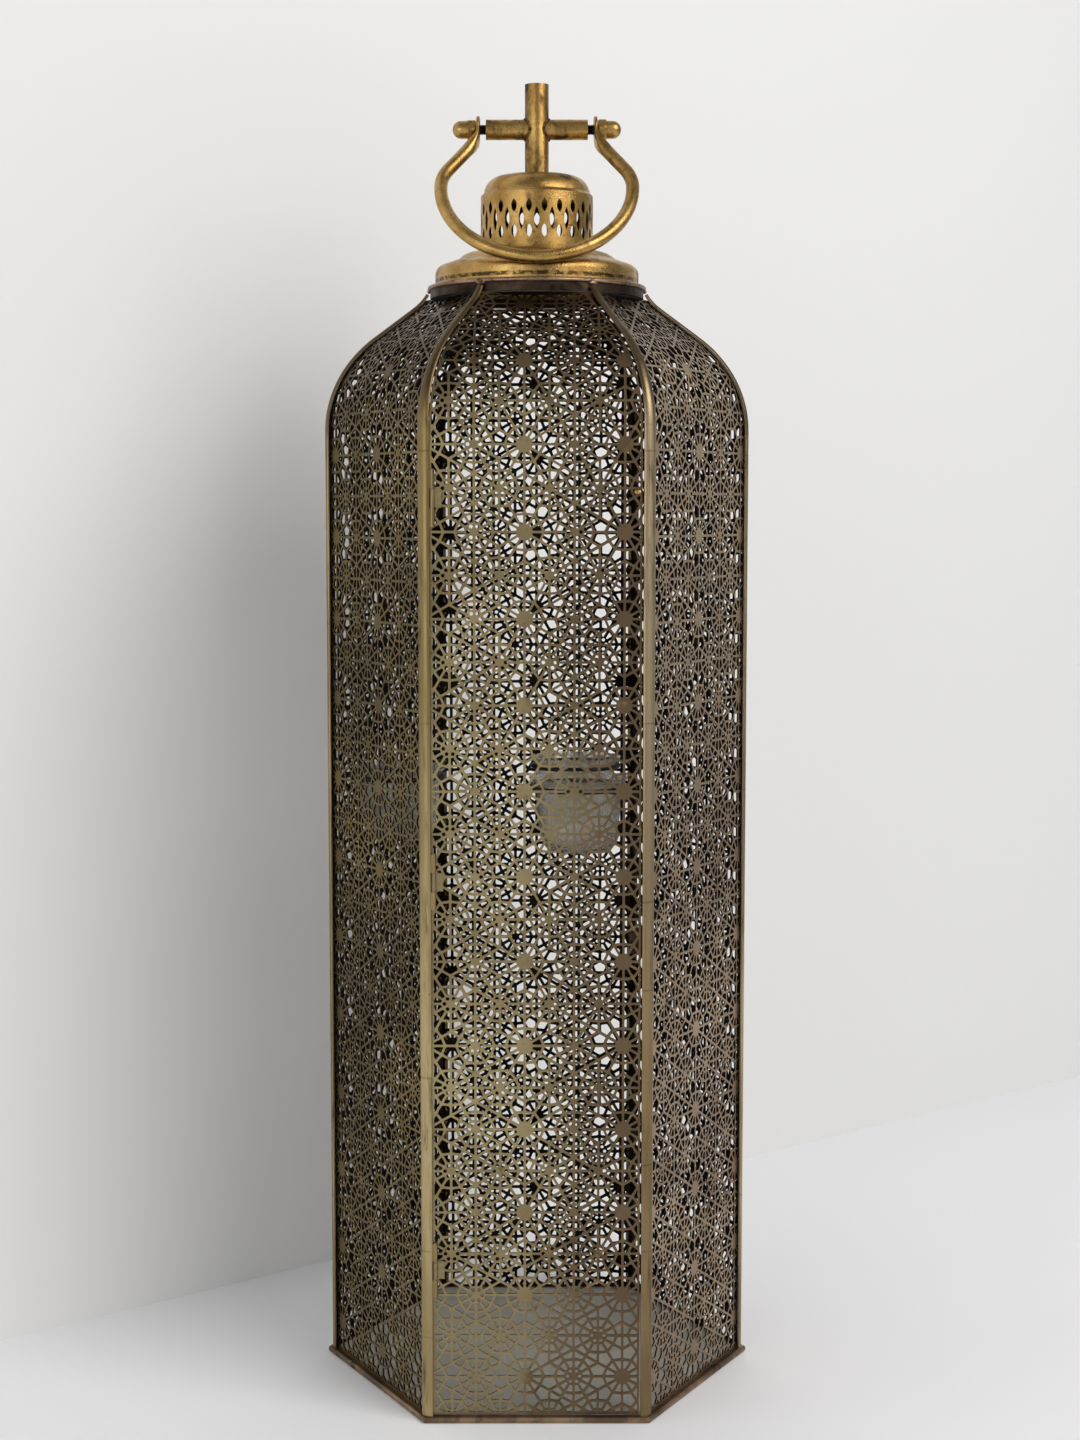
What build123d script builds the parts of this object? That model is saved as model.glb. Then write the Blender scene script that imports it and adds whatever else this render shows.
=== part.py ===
from build123d import *
import os
from math import asin, cos, radians, sin, sqrt, tan

# Tall hexagonal pierced-metal lantern for glass votive cups.
# Frame: +Z up, origin on the floor under the middle, the door panel faces -Y. Millimetres.

# Hexagonal body
CORNER_R = 134.0          # centre to the outer corner where two panels meet
SIDES = 6
HALF_TURN = radians(180 / SIDES)
PANEL_P = CORNER_R * cos(HALF_TURN)   # centre to the outer face of a panel
SHEET = 1.0               # panel thickness
PANEL_Z0 = 4.0            # panels stand on the rim
SHOULDER_Z = 609.5        # where the shoulder starts to curve in
SHOULDER_R = 76.0         # radius of the shoulder
SHOULDER_TURN = radians(49.7)
SHOULDER_FLAT_Z = 686.0   # height where the sloping flat ends
FLARE_R = 32.0            # small reverse curve under the neck
PANEL_TOP_Z = 692.4
MITRE_GAP = 0.3           # half of the gap between neighbouring panel edges

# Corner ribs
RIB_WIDTH = 8.0
RIB_TOP_WIDTH = 4.8
RIB_THICK = 2.0
RIB_TOP_Z = 696.2

# Base
RIM_CORNER_R = 139.0
RIM_HEIGHT = 4.0
RIM_ROUND = 1.5
PLATE_THICK = 3.0
PLATE_GAP = 0.2

# Neck
NECK_R = 68.0
NECK_HOLE_R = 58.0
NECK_Z0 = 692.8
NECK_Z1 = 698.0
NECK_WIRE_R = 68.3
NECK_WIRE_SECTION_R = 1.4
NECK_WIRE_Z = NECK_Z1 + NECK_WIRE_SECTION_R

# Cap under the chimney
CAP_R = 64.8
CAP_Z0 = NECK_Z1          # the cap stands on the collar
CAP_TOP_Z = 722.6
CAP_WALL = 1.4
CAP_OUTLINE = (           # radius and height, then the way the outside faces there
    (CAP_R, CAP_Z0, 1, 0),
    (CAP_R, 707.6, 1, 0),
    (63.6, 711.6, 0.85, 0.53),
    (59.5, 714.1, 0.33, 0.94),
    (50.2, 717.4, 0.45, 0.89),
    (48.0, 719.5, 0.69, 0.72),
    (44.0, 721.4, 0.3, 0.95),
    (37.2, CAP_TOP_Z, 0, 1),
    (34.8, CAP_TOP_Z, 0, 1),
)

# Chimney and its lid
CHIMNEY_R = 35.7
CHIMNEY_WALL = 0.9
CHIMNEY_Z0 = CAP_TOP_Z
CHIMNEY_Z1 = 757.4
CHIMNEY_FOOT = 0.9
COLUMNS = 23              # odd, so a long slot faces a short one across the chimney
FIRST_COLUMN = -90        # a long slot faces the front
SHORT_SLOT = (3.7, 8.2)   # width and height
LONG_SLOT = (3.4, 14.2)
SHORT_SLOT_Z = (748.2, 732.6)
LONG_SLOT_Z = 740.4
LID_TOP_Z = 771.4
LID_WALL = 1.2
LID_STEP = (1.9, 2.0)     # the lid's outline: how far in from the chimney's side and how high
LID_BOW = (5.2, 9.0)
LID_CROWN_IN = 12.0
LID_CROWN_DROP = 1.5

# Post, cross arms and the handle's pivot
POST_R = 7.6
POST_BORE_R = 6.2
POST_Z0 = 764.0
POST_Z1 = 827.3
PIVOT_Z = 799.4
ARM_R = 6.35
ARM_BORE_R = 3.3
ARM_END_X = 32.3
ROD_R = 3.2
ROD_END_X = 50.5

# Handle
EYE_X0 = 36.0
EYE_THICK = 2.6
EYE_R = 8.5
EYE_BORE_R = 3.28
EYE_LENGTH = 19.0         # pivot to where the flattened end meets the round bar
EYE_SHOULDER = (0.96, 2.0)   # start of the taper: share of the eye's radius, and drop
BAR_R = 4.2
LOOP_R = 59.7             # radius of the bottom half of the loop
LOOP_LENGTH = 111.0       # pivot to the middle of the loop's bottom
UPPER_ARC_R = 28.2
ARM_LEAN = radians(33.5)  # lean of the straight part of each side
BAR_END_DROP = 11.0       # how far below the pivot the round bar ends
REST_TILT = 38.6          # degrees forward of hanging straight down

# Domed nuts
NUT_X0 = 38.9
NUT_FLATS = 11.8
NUT_HEX_LENGTH = 5.2
NUT_DOME_R = 5.6
NUT_LENGTH = 14.6

# Door
DOOR_EDGE_GAP = 4.1       # door edge to the mitre line, along the panel
DOOR_HINGE_EDGE_GAP = 3.3
DOOR_Z0 = 4.6
DOOR_TOP_Z = 692.0
HINGE_X = -61.9
HINGE_Y = -117.8
KNUCKLE_R = 1.3
PIN_R = 0.6
PIN_CLEARANCE = 0.05
PIN_HEAD_R = 1.1
PIN_HEAD = 0.6
HINGE_Z = (96.0, 336.0, 566.0)
KNUCKLE = 11.0
KNUCKLE_GAP = 0.3
HINGE_TAB = 3.4
HINGE_LEAF = 5.5
LEAF_THICK = 1.0
KNOB_X = 59.9
KNOB_Z = 569.8
KNOB_R = 1.7
KNOB_LENGTH = 4.6
KNOB_GAP = 0.9            # between the bean and the door's face
STOP_X0 = 56.0
STOP_Z = 300.0
STOP_THICK = 1.5
STOP_HEIGHT = 16.0
STOP_GAP = 0.3            # between the closed door and the stop

# Cup holders and cups
RING_Z = 387.0
WIRE_R = 1.5
RING_R = 29.2
CUP_SPOTS = {             # holder: ring centre x and y, direction of the rib that carries it
    "left": (-90.0, 0.0, 180),
    "front_right": (26.0, -60.0, -60),
    "back_right": (26.0, 60.0, 60),
}
CUP_HEIGHT = 46.0
CUP_BELOW_RING = 40.0
CUP_FOOT_R = 17.0
CUP_WAIST_R = 26.8
CUP_MOUTH_R = 31.0
CUP_WALL = 2.2
CUP_FLOOR = 3.5
CUP_HEEL = (6.2, 9.0)     # out from the foot and up, where the foot turns into the side
CUP_INNER_HEEL = (4.0, 11.0)
CUP_SIDE_IN = 0.6         # how much slimmer the side is than the waist

os.makedirs("parts", exist_ok=True)
PANEL_NAMES = {-30: "front_right", 30: "back_right", 90: "back", 150: "back_left", 210: "front_left"}
RIB_NAMES = {
    -60: "front_right", 0: "right", 60: "back_right",
    120: "back_left", 180: "left", 240: "front_left",
}


def save(name, shape):
    export_step(shape, f"parts/{name}.step")


def turned(shape, angle):
    return Rot(0, 0, angle) * shape


# ---- Panel profile: distance from the axis (x) against height (y) ----

def profile_parts(offset, z0, top_z):
    """Outline of a panel's face, set in by offset, as edges from the bottom to top_z."""
    face = PANEL_P - offset
    turn, r1, r2 = SHOULDER_TURN, SHOULDER_R - offset, FLARE_R + offset
    centre1 = (PANEL_P - SHOULDER_R, SHOULDER_Z)
    end1 = (centre1[0] + r1 * cos(turn), centre1[1] + r1 * sin(turn))
    outer_end = (centre1[0] + SHOULDER_R * cos(turn), centre1[1] + SHOULDER_R * sin(turn))
    flat = (SHOULDER_FLAT_Z - outer_end[1]) / cos(turn)
    end2 = (end1[0] - flat * sin(turn), end1[1] + flat * cos(turn))
    centre2 = (end2[0] + r2 * cos(turn), end2[1] + r2 * sin(turn))
    last = -asin((centre2[1] - top_z) / r2)
    end3 = (centre2[0] - r2 * cos(last), centre2[1] + r2 * sin(last))
    middle1 = (centre1[0] + r1 * cos(turn / 2), centre1[1] + r1 * sin(turn / 2))
    bend = (-turn + last) / 2
    middle2 = (centre2[0] - r2 * cos(bend), centre2[1] + r2 * sin(bend))
    return [(face, z0), (face, SHOULDER_Z), middle1, end1, end2, middle2, end3]


def profile_edges(points):
    bottom, shoulder, middle1, end1, end2, middle2, end3 = points
    return [
        Line(bottom, shoulder),
        ThreePointArc(shoulder, middle1, end1),
        Line(end1, end2),
        ThreePointArc(end2, middle2, end3),
    ]


def panel_section(z0, top_z):
    outer = profile_parts(0, z0, top_z)
    inner = profile_parts(SHEET, z0, top_z)
    edges = profile_edges(outer) + profile_edges(inner)
    edges += [Line(outer[0], inner[0]), Line(outer[-1], inner[-1])]
    return make_face(edges)


def make_panel(z0, top_z, gap_low, gap_high):
    """One panel facing +X. gap_low and gap_high are its clearances from the two mitre lines."""
    reach = CORNER_R
    sheet = extrude(Plane.XZ * panel_section(z0, top_z), reach, both=True)
    slope = tan(HALF_TURN)
    far = 2 * CORNER_R
    tip_x = (gap_low + gap_high) / 2 / slope
    tip = (tip_x, (gap_low - gap_high) / 2)
    wedge = make_face(Polyline(tip, (far, far * slope - gap_high), (far, gap_low - far * slope), tip))
    return sheet & extrude(wedge, top_z + reach)


# ---- Corner ribs ----

def rib_path(offset, top_z):
    """Points of the corner line, pushed out by offset, from the shoulder up."""
    points = []
    steps = 7
    for i in range(steps + 1):
        angle = SHOULDER_TURN * i / steps
        p = PANEL_P - SHOULDER_R * (1 - cos(angle))
        z = SHOULDER_Z + SHOULDER_R * sin(angle)
        points.append((p / cos(HALF_TURN), z, sin(angle), cos(angle)))
    start = profile_parts(0, 0, top_z)[4]
    flat_end = profile_parts(0, 0, PANEL_TOP_Z)[4]
    centre = (flat_end[0] + FLARE_R * cos(SHOULDER_TURN), flat_end[1] + FLARE_R * sin(SHOULDER_TURN))
    points.append((start[0] / cos(HALF_TURN), start[1], sin(SHOULDER_TURN), cos(SHOULDER_TURN)))
    last = asin((centre[1] - top_z) / FLARE_R)
    for i in (1, 2, 3):
        angle = SHOULDER_TURN + (last - SHOULDER_TURN) * i / 3
        p = centre[0] - FLARE_R * cos(angle)
        z = centre[1] - FLARE_R * sin(angle)
        points.append((p / cos(HALF_TURN), z, sin(angle), cos(angle)))
    moved = []
    for r, z, lean, upright in points:
        # the corner line leans more than the panel, so its own normal is used
        length = sqrt((lean / cos(HALF_TURN)) ** 2 + upright ** 2)
        moved.append((r + offset * upright / length, z + offset * lean / cos(HALF_TURN) / length))
    return moved


def make_rib():
    """One rib over the corner at +X."""
    clear = 0.05
    inner = rib_path(clear, RIB_TOP_Z)
    outer = rib_path(clear + RIB_THICK, RIB_TOP_Z)
    foot_in = (CORNER_R + clear, PANEL_Z0)
    foot_out = (CORNER_R + clear + RIB_THICK, PANEL_Z0)
    section = make_face([
        Line(foot_in, inner[0]),
        Spline(inner, tangents=[(0, 1), (inner[-1][0] - inner[-2][0], inner[-1][1] - inner[-2][1])]),
        Line(inner[-1], outer[-1]),
        Spline(outer, tangents=[(0, 1), (outer[-1][0] - outer[-2][0], outer[-1][1] - outer[-2][1])]),
        Line(outer[0], foot_out),
        Line(foot_out, foot_in),
    ])
    strip = extrude(Plane.XZ * section, RIB_WIDTH, both=True)
    half, top_half = RIB_WIDTH / 2, RIB_TOP_WIDTH / 2
    front = make_face(Polyline(
        (-half, PANEL_Z0), (half, PANEL_Z0), (half, SHOULDER_Z), (top_half, RIB_TOP_Z + RIB_THICK),
        (-top_half, RIB_TOP_Z + RIB_THICK), (-half, SHOULDER_Z), (-half, PANEL_Z0),
    ))
    return strip & extrude(Plane.YZ * front, 2 * CORNER_R)


# ---- Base ----

def hexagon_prism(corner_r, z0, height):
    return Pos(0, 0, z0) * extrude(RegularPolygon(corner_r, SIDES), height)


def make_base_rim():
    inner_p = PANEL_P - SHEET / 2
    rim = hexagon_prism(RIM_CORNER_R, 0, RIM_HEIGHT)
    edges = rim.edges().group_by(Axis.Z)
    rim = fillet(list(edges[0]) + list(edges[-1]), RIM_ROUND)
    return rim - hexagon_prism(inner_p / cos(HALF_TURN), -1, RIM_HEIGHT + 2)


def make_base_plate():
    corner_r = (PANEL_P - SHEET / 2) / cos(HALF_TURN) - PLATE_GAP
    return hexagon_prism(corner_r, 0, PLATE_THICK)


# ---- Neck, cap and chimney ----

def revolved(edges):
    return revolve(Plane.XZ * make_face(edges), Axis.Z)


def tube(outer_r, inner_r, z0, z1):
    ring = Circle(outer_r) - Circle(inner_r)
    return Pos(0, 0, z0) * extrude(ring, z1 - z0)


def make_neck_wire():
    return Pos(0, 0, NECK_WIRE_Z) * Torus(NECK_WIRE_R, NECK_WIRE_SECTION_R)


def cap_profile(offset):
    """Stepped outline of the cap, from its lower edge to the chimney's foot, set in by offset."""
    points = [(r - offset * out, z - offset * up) for r, z, out, up in CAP_OUTLINE]
    lower, edge, bow, crown, step_foot, step_bow, step_crown, rim, foot = points
    edges = [
        Line(lower, edge),
        ThreePointArc(edge, bow, crown),
        Line(crown, step_foot),
        ThreePointArc(step_foot, step_bow, step_crown),
        Line(step_crown, rim),
        Line(rim, foot),
    ]
    return edges, lower, foot


def make_cap():
    outer, outer_low, outer_foot = cap_profile(0)
    inner, inner_low, inner_foot = cap_profile(CAP_WALL)
    return revolved(outer + inner + [Line(outer_low, inner_low), Line(outer_foot, inner_foot)])


def slot_cutter(width, height):
    """A pointed slot in the YZ plane, pushed along X through the wall at +X only."""
    reach = 2.5
    tip, low = (0, height / 2), (0, -height / 2)
    lens = make_face([
        ThreePointArc(low, (width / 2, 0), tip),
        ThreePointArc(tip, (-width / 2, 0), low),
    ])
    return Pos(CHIMNEY_R, 0, 0) * extrude(Plane.YZ * lens, reach, both=True)


def make_chimney():
    wall = tube(CHIMNEY_R, CHIMNEY_R - CHIMNEY_WALL, CHIMNEY_Z0, CHIMNEY_Z1)
    wall += tube(CHIMNEY_R + CHIMNEY_FOOT, CHIMNEY_R - CHIMNEY_WALL, CHIMNEY_Z0, CHIMNEY_Z0 + CHIMNEY_FOOT)
    step = 360 / COLUMNS
    slots = []
    for i in range(COLUMNS):
        angle = FIRST_COLUMN + i * step
        for z in SHORT_SLOT_Z:
            slots.append(Rot(0, 0, angle + step / 2) * Pos(0, 0, z) * slot_cutter(*SHORT_SLOT))
        slots.append(Rot(0, 0, angle) * Pos(0, 0, LONG_SLOT_Z) * slot_cutter(*LONG_SLOT))
    return wall - slots


def lid_profile(offset):
    skirt = (CHIMNEY_R - offset, CHIMNEY_Z1)
    step = (CHIMNEY_R - LID_STEP[0] - offset, CHIMNEY_Z1 + LID_STEP[1] - offset * 0.6)
    bow = (CHIMNEY_R - LID_BOW[0] - offset * 0.7, CHIMNEY_Z1 + LID_BOW[1] - offset * 0.7)
    crown = (CHIMNEY_R - LID_CROWN_IN, LID_TOP_Z - LID_CROWN_DROP - offset)
    post = (POST_R, LID_TOP_Z - offset)
    edges = [Line(skirt, step), ThreePointArc(step, bow, crown), Line(crown, post)]
    return edges, skirt, post


def make_lid():
    outer, outer_low, outer_top = lid_profile(0)
    inner, inner_low, inner_top = lid_profile(LID_WALL)
    return revolved(outer + inner + [Line(outer_low, inner_low), Line(outer_top, inner_top)])


# ---- Post, cross arms, rod and nuts ----

def along_x(shape, x):
    """Puts a shape built along +Z so that it starts at x on the pivot axis and runs along +X."""
    return Pos(x, 0, PIVOT_Z) * Rot(0, 90, 0) * shape


def make_post():
    bore = along_x(Pos(0, 0, -POST_R * 2) * extrude(Circle(ARM_BORE_R), POST_R * 4), 0)
    return tube(POST_R, POST_BORE_R, POST_Z0, POST_Z1) - bore


def make_cross_arm(side):
    """The short tube welded to one side of the post."""
    section = Circle(ARM_R) - Circle(ARM_BORE_R)
    arm = along_x(extrude(section, ARM_END_X), 0)
    arm = arm - Pos(0, 0, PIVOT_Z - 2 * POST_R) * extrude(Circle(POST_R), 4 * POST_R)
    keep = Pos(ARM_END_X, 0, PIVOT_Z) * Box(2 * ARM_END_X - POST_R, 4 * ARM_R, 4 * ARM_R)
    arm = arm & keep
    return arm if side > 0 else mirror(arm, Plane.YZ)


def make_rod():
    return along_x(extrude(Circle(ROD_R), 2 * ROD_END_X), -ROD_END_X)


def make_nut(side):
    hexagon = extrude(RegularPolygon(NUT_FLATS / 2, SIDES, major_radius=False), NUT_HEX_LENGTH)
    straight = NUT_LENGTH - NUT_DOME_R
    dome = extrude(Circle(NUT_DOME_R), straight) + Pos(0, 0, straight) * Sphere(NUT_DOME_R)
    dome = dome & Pos(0, 0, NUT_LENGTH / 2) * Box(4 * NUT_DOME_R, 4 * NUT_DOME_R, NUT_LENGTH)
    nut = hexagon + dome - extrude(Circle(ROD_R), ROD_END_X - NUT_X0)
    nut = along_x(nut, NUT_X0)
    return nut if side > 0 else mirror(nut, Plane.YZ)


# ---- Handle: built hanging straight down in the XZ plane, then tilted to where it rests ----

def handle_path():
    centre_z = -(LOOP_LENGTH - LOOP_R)
    wide = (LOOP_R, centre_z)
    turn = ARM_LEAN
    arc_centre_x = LOOP_R - UPPER_ARC_R
    arc_end = (arc_centre_x + UPPER_ARC_R * cos(turn), centre_z + UPPER_ARC_R * sin(turn))
    arc_mid = (arc_centre_x + UPPER_ARC_R * cos(turn / 2), centre_z + UPPER_ARC_R * sin(turn / 2))
    rise = -BAR_END_DROP - arc_end[1]
    bar_end = (arc_end[0] - rise * tan(turn), -BAR_END_DROP)

    def left(point):
        return (-point[0], point[1])

    return [
        Line(left(bar_end), left(arc_end)),
        ThreePointArc(left(arc_end), left(arc_mid), left(wide)),
        ThreePointArc(left(wide), (0, -LOOP_LENGTH), wide),
        ThreePointArc(wide, arc_mid, arc_end),
        Line(arc_end, bar_end),
    ], left(bar_end)


def make_eye():
    """Flattened end of the bar on the +X side, hanging straight down from the pivot axis."""
    half, drop = EYE_R * EYE_SHOULDER[0], EYE_SHOULDER[1]
    outline = Circle(EYE_R) + make_face(Polyline(
        (-half, -drop), (half, -drop), (BAR_R, -EYE_LENGTH), (-BAR_R, -EYE_LENGTH), (-half, -drop),
    ))
    outline = outline - Circle(EYE_BORE_R)
    return Pos(EYE_X0, 0, 0) * extrude(Plane.YZ * outline, EYE_THICK)


def make_handle():
    edges, start = handle_path()
    path = Wire([Plane.XZ * edge for edge in edges])
    section = Plane(origin=path @ 0, z_dir=path % 0) * Circle(BAR_R)
    bar = sweep(section, path=path)
    nut_room = Rot(0, 90, 0) * Pos(0, 0, EYE_X0 + EYE_THICK) * extrude(Circle(EYE_R), 2 * EYE_R)
    inner_room = Rot(0, 90, 0) * Pos(0, 0, EYE_X0 - 2 * EYE_R) * extrude(Circle(EYE_R), 2 * EYE_R)
    for room in (nut_room, inner_room):
        bar = bar - room - mirror(room, Plane.YZ)
    eye = make_eye()
    handle = bar + eye + mirror(eye, Plane.YZ)
    return Pos(0, 0, PIVOT_Z) * Rot(-REST_TILT, 0, 0) * handle


# ---- Door, its hinges, knob and stop ----

def make_door_panel():
    return turned(make_panel(DOOR_Z0, DOOR_TOP_Z, DOOR_HINGE_EDGE_GAP, DOOR_EDGE_GAP), -90)


def hinge_tube(z0, length, bore_r):
    return Pos(HINGE_X, HINGE_Y, z0) * extrude(Circle(KNUCKLE_R) - Circle(bore_r), length)


def knuckle_starts(z):
    """Lower ends of the bottom, middle and top knuckles of the hinge centred at height z."""
    pitch = KNUCKLE + KNUCKLE_GAP
    middle = z - KNUCKLE / 2
    return middle - pitch, middle, middle + pitch


def make_frame_knuckles():
    """The knuckles held by the front left rib, with the tab that joins each to it."""
    solids = []
    tab_end_x = HINGE_X - HINGE_TAB
    rib_face = turned(Pos(CORNER_R + RIB_THICK, 0, 0) * Box(2 * RIB_THICK, RIB_WIDTH, 3 * SHOULDER_Z), 240)
    for z in HINGE_Z:
        low, _, high = knuckle_starts(z)
        for start in (low, high):
            tab = Pos((tab_end_x + HINGE_X) / 2, HINGE_Y - 0.2, start + KNUCKLE / 2)
            tab = tab * Box(HINGE_TAB, LEAF_THICK, KNUCKLE)
            bore = Pos(HINGE_X, HINGE_Y, start) * extrude(Circle(PIN_R), KNUCKLE)
            solids.append(hinge_tube(start, KNUCKLE, PIN_R) + (tab - bore - rib_face))
    return Compound(children=solids)


def make_door_knuckles():
    """The middle knuckles, each with the leaf that is soldered to the door's face."""
    solids = []
    for z in HINGE_Z:
        start = knuckle_starts(z)[1]
        leaf = Pos(HINGE_X + HINGE_LEAF / 2, -PANEL_P - LEAF_THICK / 2, start + KNUCKLE / 2)
        leaf = leaf * Box(HINGE_LEAF, LEAF_THICK, KNUCKLE)
        bore = Pos(HINGE_X, HINGE_Y, start) * extrude(Circle(PIN_R + PIN_CLEARANCE), KNUCKLE)
        solids.append(hinge_tube(start, KNUCKLE, PIN_R + PIN_CLEARANCE) + (leaf - bore))
    return Compound(children=solids)


def make_hinge_pins():
    solids = []
    for z in HINGE_Z:
        low, _, high = knuckle_starts(z)
        shank = Pos(HINGE_X, HINGE_Y, low) * extrude(Circle(PIN_R), high + KNUCKLE - low)
        head = Pos(HINGE_X, HINGE_Y, high + KNUCKLE) * extrude(Circle(PIN_HEAD_R), PIN_HEAD)
        solids.append(shank + head)
    return Compound(children=solids)


def make_knob():
    """A small bean of brass soldered to the door beside its free edge."""
    bean_y = -PANEL_P - KNOB_R - KNOB_GAP
    half = KNOB_LENGTH / 2 - KNOB_R
    core = Pos(KNOB_X - half, bean_y, KNOB_Z) * Rot(0, 90, 0) * extrude(Circle(KNOB_R), 2 * half)
    ends = Pos(KNOB_X - half, bean_y, KNOB_Z) * Sphere(KNOB_R)
    ends += Pos(KNOB_X + half, bean_y, KNOB_Z) * Sphere(KNOB_R)
    stem = Pos(KNOB_X, -PANEL_P, KNOB_Z) * Rot(90, 0, 0) * extrude(Circle(KNOB_R * 0.6), KNOB_R + KNOB_GAP)
    return core + ends + stem


def make_door_stop():
    """A tab behind the door's free edge, soldered to the panel next to it."""
    back_y = -PANEL_P + SHEET + STOP_GAP
    # the tab reaches the inner face of the neighbouring panel
    end_x = ((PANEL_P - SHEET) + back_y * sin(HALF_TURN)) / cos(HALF_TURN)
    tab = Box(end_x - STOP_X0, STOP_THICK, STOP_HEIGHT)
    return Pos((STOP_X0 + end_x) / 2, back_y + STOP_THICK / 2, STOP_Z) * tab


# ---- Cup holders and cups ----

def make_ring(x, y):
    return Pos(x, y, RING_Z) * Torus(RING_R, WIRE_R)


def make_arm(x, y, rib_angle):
    """Straight wire from the rib's corner to the ring."""
    inner = (PANEL_P - SHEET) / cos(HALF_TURN) - 1.2
    start = Vector(inner * cos(radians(rib_angle)), inner * sin(radians(rib_angle)), RING_Z)
    to_ring = Vector(x, y, RING_Z) - start
    length = to_ring.length - RING_R
    rod = extrude(Plane(origin=start, z_dir=to_ring) * Circle(WIRE_R), length)
    return rod - make_ring(x, y)


def make_cup(x, y):
    """Glass cup with a flared mouth, hanging in its ring by the flare."""
    side_z = 0.7 * CUP_BELOW_RING
    ends = [(1, 0.25), (0.6, 1)]
    inner_foot_r = CUP_FOOT_R - 1.5
    outer = Spline(
        (CUP_FOOT_R, 0), (CUP_FOOT_R + CUP_HEEL[0], CUP_HEEL[1]), (CUP_WAIST_R - CUP_SIDE_IN, side_z),
        (CUP_WAIST_R, CUP_BELOW_RING), (CUP_MOUTH_R, CUP_HEIGHT), tangents=ends,
    )
    inner = Spline(
        (inner_foot_r, CUP_FLOOR), (CUP_FOOT_R + CUP_INNER_HEEL[0], CUP_INNER_HEEL[1]),
        (CUP_WAIST_R - CUP_SIDE_IN - CUP_WALL, side_z), (CUP_WAIST_R - CUP_WALL, CUP_BELOW_RING),
        (CUP_MOUTH_R - CUP_WALL, CUP_HEIGHT), tangents=ends,
    )
    section = make_face([
        Line((0, 0), (CUP_FOOT_R, 0)), outer,
        Line((CUP_MOUTH_R, CUP_HEIGHT), (CUP_MOUTH_R - CUP_WALL, CUP_HEIGHT)), inner,
        Line((inner_foot_r, CUP_FLOOR), (0, CUP_FLOOR)), Line((0, CUP_FLOOR), (0, 0)),
    ])
    return Pos(x, y, RING_Z - CUP_BELOW_RING) * revolve(Plane.XZ * section, Axis.Z)


# ---- Write every part ----

save("base_rim", make_base_rim())
save("base_plate", make_base_plate())
panel = make_panel(PANEL_Z0, PANEL_TOP_Z, MITRE_GAP, MITRE_GAP)
for angle, name in PANEL_NAMES.items():
    save(f"panel_{name}", turned(panel, angle))
rib = make_rib()
for angle, name in RIB_NAMES.items():
    save(f"rib_{name}", turned(rib, angle))

save("neck_collar", tube(NECK_R, NECK_HOLE_R, NECK_Z0, NECK_Z1))
save("neck_wire", make_neck_wire())
save("cap", make_cap())
save("chimney", make_chimney())
save("chimney_lid", make_lid())

save("post", make_post())
for side, name in ((-1, "left"), (1, "right")):
    save(f"cross_arm_{name}", make_cross_arm(side))
    save(f"domed_nut_{name}", make_nut(side))
save("pivot_rod", make_rod())
save("handle", make_handle())

save("door_panel", make_door_panel())
save("door_knob", make_knob())
save("door_hinge_leaves", make_door_knuckles())
save("frame_hinge_knuckles", make_frame_knuckles())
save("hinge_pins", make_hinge_pins())
save("door_stop", make_door_stop())

for name, (x, y, rib_angle) in CUP_SPOTS.items():
    save(f"cup_ring_{name}", make_ring(x, y))
    save(f"ring_arm_{name}", make_arm(x, y, rib_angle))
    save(f"glass_cup_{name}", make_cup(x, y))
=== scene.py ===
from math import asin, cos, degrees, pi, radians, sin, sqrt, tan

import bpy
import numpy as np
from mathutils import Matrix, Vector, geometry, noise


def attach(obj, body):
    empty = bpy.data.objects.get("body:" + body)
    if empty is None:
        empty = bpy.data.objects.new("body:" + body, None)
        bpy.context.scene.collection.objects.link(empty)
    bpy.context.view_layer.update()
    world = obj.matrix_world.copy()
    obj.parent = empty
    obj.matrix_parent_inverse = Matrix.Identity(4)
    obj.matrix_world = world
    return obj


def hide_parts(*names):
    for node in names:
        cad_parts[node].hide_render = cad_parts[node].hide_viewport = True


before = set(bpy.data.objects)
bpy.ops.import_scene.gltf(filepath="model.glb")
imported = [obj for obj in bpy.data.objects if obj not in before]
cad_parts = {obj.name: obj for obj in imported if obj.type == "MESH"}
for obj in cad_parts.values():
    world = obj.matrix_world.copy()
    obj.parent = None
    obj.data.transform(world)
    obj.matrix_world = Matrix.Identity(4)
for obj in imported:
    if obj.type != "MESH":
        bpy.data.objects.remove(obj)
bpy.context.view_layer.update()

# Lengths are millimetres in the frame's axes; add_mesh turns them into metres.
MM = 0.001

# Hexagonal body, as in the CAD
CORNER_R = 134.0
SLOPE = tan(radians(30))
PANEL_P = CORNER_R * cos(radians(30))
SHEET = 1.0
SHOULDER_V = 609.5        # height, and length along the panel, where the shoulder starts
SHOULDER_R = 76.0
SHOULDER_TURN = radians(49.7)
FLAT_TOP_Z = 686.0
FLARE_R = 32.0
PANEL_TOP_Z = 692.4

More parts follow.
